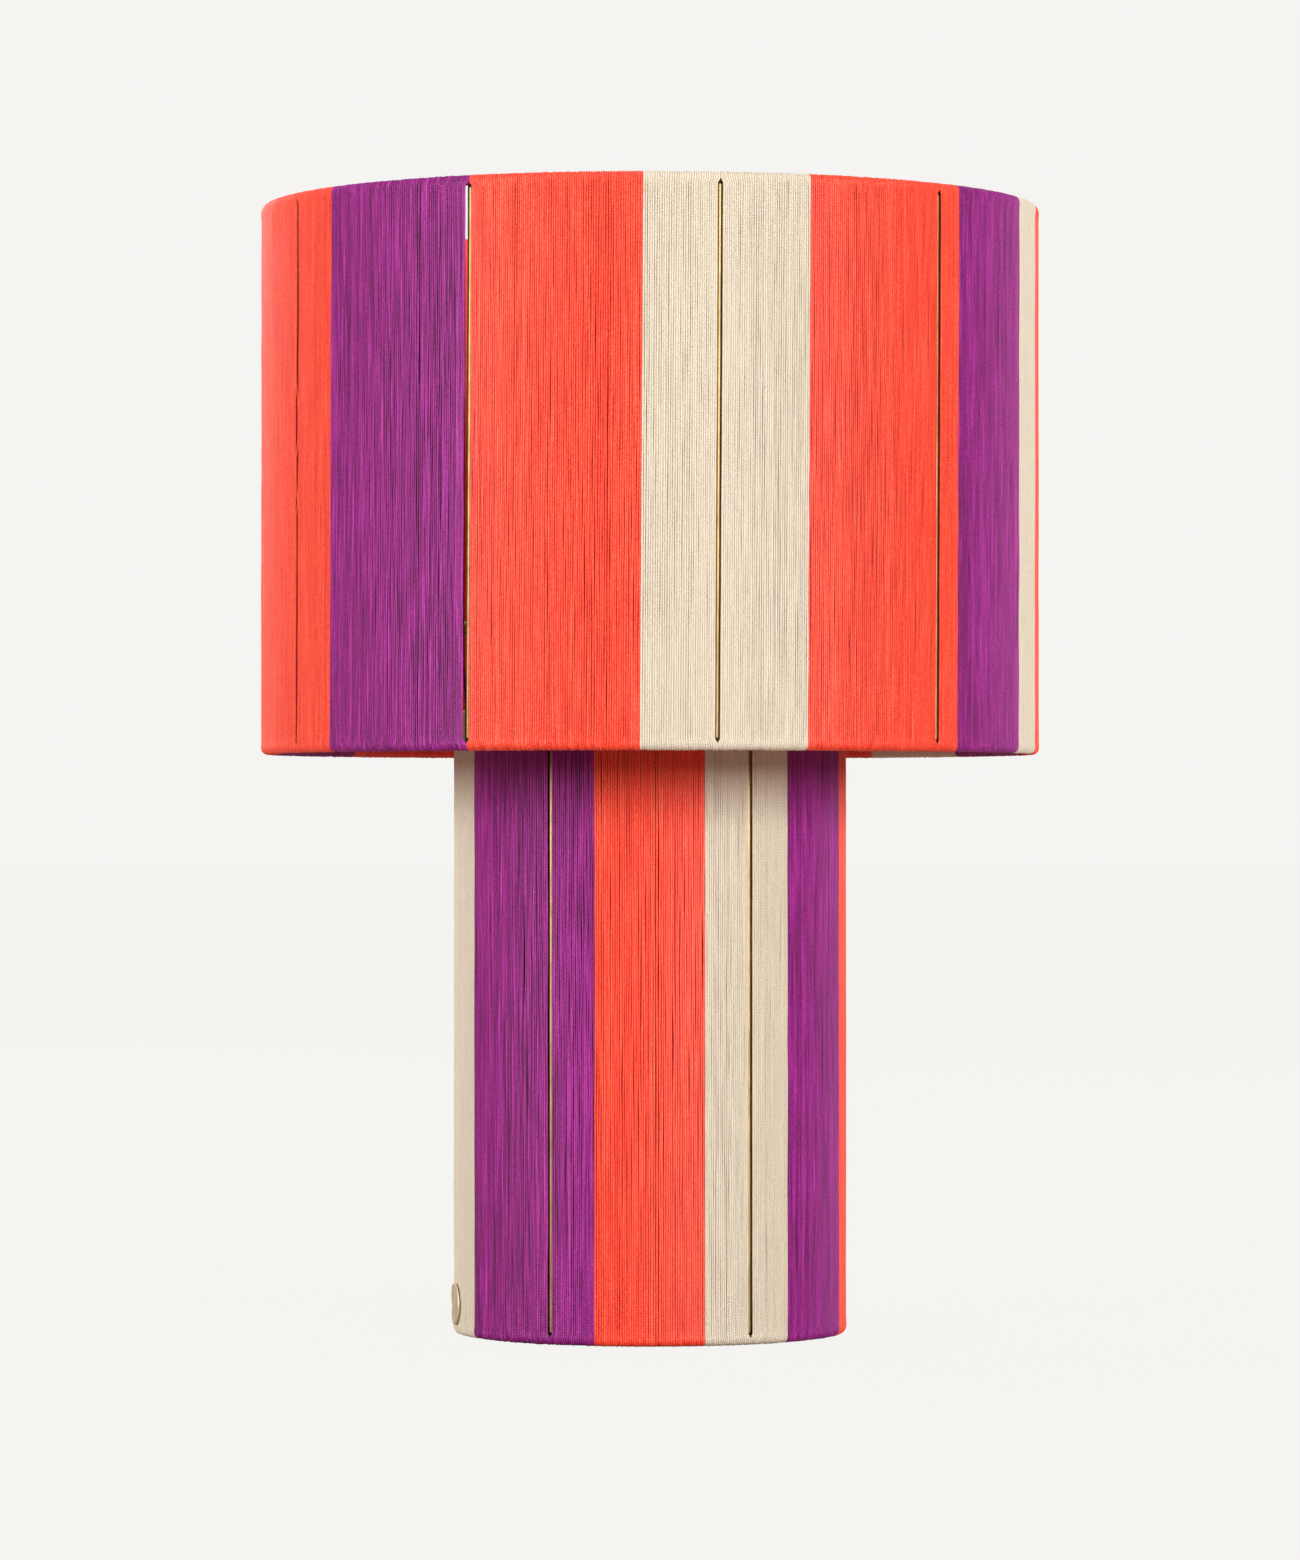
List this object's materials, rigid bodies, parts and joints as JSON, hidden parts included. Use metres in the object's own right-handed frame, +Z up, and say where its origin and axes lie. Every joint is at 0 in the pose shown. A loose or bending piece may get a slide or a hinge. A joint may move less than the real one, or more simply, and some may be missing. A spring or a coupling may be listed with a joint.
{
  "type": "table lamp",
  "caption": "Table lamp with a drum shade over a cylindrical base, both wire frames wound with bands of coloured yarn.",
  "frame": {"origin": "on the lamp axis, on the surface that it stands on: the middle of the felt pad under the base", "axes": "+Z up along the lamp axis; -Y is the front that faces the viewer, +X is its right side, and the cord inlet is at the back, +Y"},
  "size_m": [0.3, 0.3, 0.434],
  "materials": {
    "coral_yarn": "matt cotton yarn",
    "purple_yarn": "matt cotton yarn",
    "cream_yarn": "matt cotton yarn",
    "frame_brass": "drawn brass wire",
    "holder_brass": "turned, satin",
    "disc_brass": "brushed",
    "insulator_ceramic": "unglazed white",
    "locknut_steel": "zinc plated",
    "weight_steel": "rolled plate",
    "bulb_cap_nickel": "nickel plated",
    "bulb_opal_glass": "opal",
    "felt": "pressed felt",
    "bushing_plastic": "moulded"
  },
  "bodies": {
    "base": {"base_coral_yarn_03": "coral_yarn", "base_coral_yarn_06": "coral_yarn", "base_coral_yarn_09": "coral_yarn", "base_cream_yarn_01": "cream_yarn", "base_cream_yarn_04": "cream_yarn", "base_cream_yarn_07": "cream_yarn", "base_lower_ring": "frame_brass", "base_purple_yarn_02": "purple_yarn", "base_purple_yarn_05": "purple_yarn", "base_purple_yarn_08": "purple_yarn", "base_purple_yarn_10": "purple_yarn", "base_upper_ring": "frame_brass", "base_upright_01": "frame_brass", "base_upright_02": "frame_brass", "base_upright_03": "frame_brass", "base_upright_04": "frame_brass", "base_upright_05": "frame_brass", "base_upright_06": "frame_brass", "cord_bushing": "bushing_plastic", "felt_pad": "felt", "holder_body": "holder_brass", "holder_cap": "holder_brass", "holder_carrier": "frame_brass", "holder_contact": "holder_brass", "holder_insulator": "insulator_ceramic", "maker_disc": "disc_brass", "nipple_locknut": "locknut_steel", "threaded_nipple": "holder_brass", "weight_plate": "weight_steel"},
    "support_ring": {"support_ring": "holder_brass"},
    "shade": {"shade_coral_yarn_01": "coral_yarn", "shade_coral_yarn_03": "coral_yarn", "shade_coral_yarn_05": "coral_yarn", "shade_coral_yarn_08": "coral_yarn", "shade_coral_yarn_11": "coral_yarn", "shade_coral_yarn_13": "coral_yarn", "shade_cream_yarn_04": "cream_yarn", "shade_cream_yarn_07": "cream_yarn", "shade_cream_yarn_10": "cream_yarn", "shade_lower_ring": "frame_brass", "shade_purple_yarn_02": "purple_yarn", "shade_purple_yarn_06": "purple_yarn", "shade_purple_yarn_09": "purple_yarn", "shade_purple_yarn_12": "purple_yarn", "shade_purple_yarn_14": "purple_yarn", "shade_spider": "frame_brass", "shade_upper_ring": "frame_brass", "shade_upright_01": "frame_brass", "shade_upright_02": "frame_brass", "shade_upright_03": "frame_brass", "shade_upright_04": "frame_brass", "shade_upright_05": "frame_brass", "shade_upright_06": "frame_brass", "shade_upright_07": "frame_brass", "shade_upright_08": "frame_brass", "shade_upright_09": "frame_brass", "shade_upright_10": "frame_brass"},
    "retaining_ring": {"retaining_ring": "holder_brass"},
    "bulb": {"bulb_cap": "bulb_cap_nickel", "bulb_glass": "bulb_opal_glass"}
  },
  "joints": [
    {"name": "support_ring_turn", "type": "hinge", "parent": "base", "child": "support_ring", "pos_m": [0, 0, 0.267], "axis": [0, 0, 1], "continuous": true},
    {"name": "shade_lift", "type": "slide", "parent": "support_ring", "child": "shade", "axis": [0, 0, 1], "range_m": [0, 0.15]},
    {"name": "retaining_ring_turn", "type": "hinge", "parent": "shade", "child": "retaining_ring", "pos_m": [0, 0, 0.277], "axis": [0, 0, 1], "continuous": true},
    {"name": "bulb_withdraw", "type": "slide", "parent": "base", "child": "bulb", "axis": [0, 0, 1], "range_m": [0, 0.175]}
  ]
}
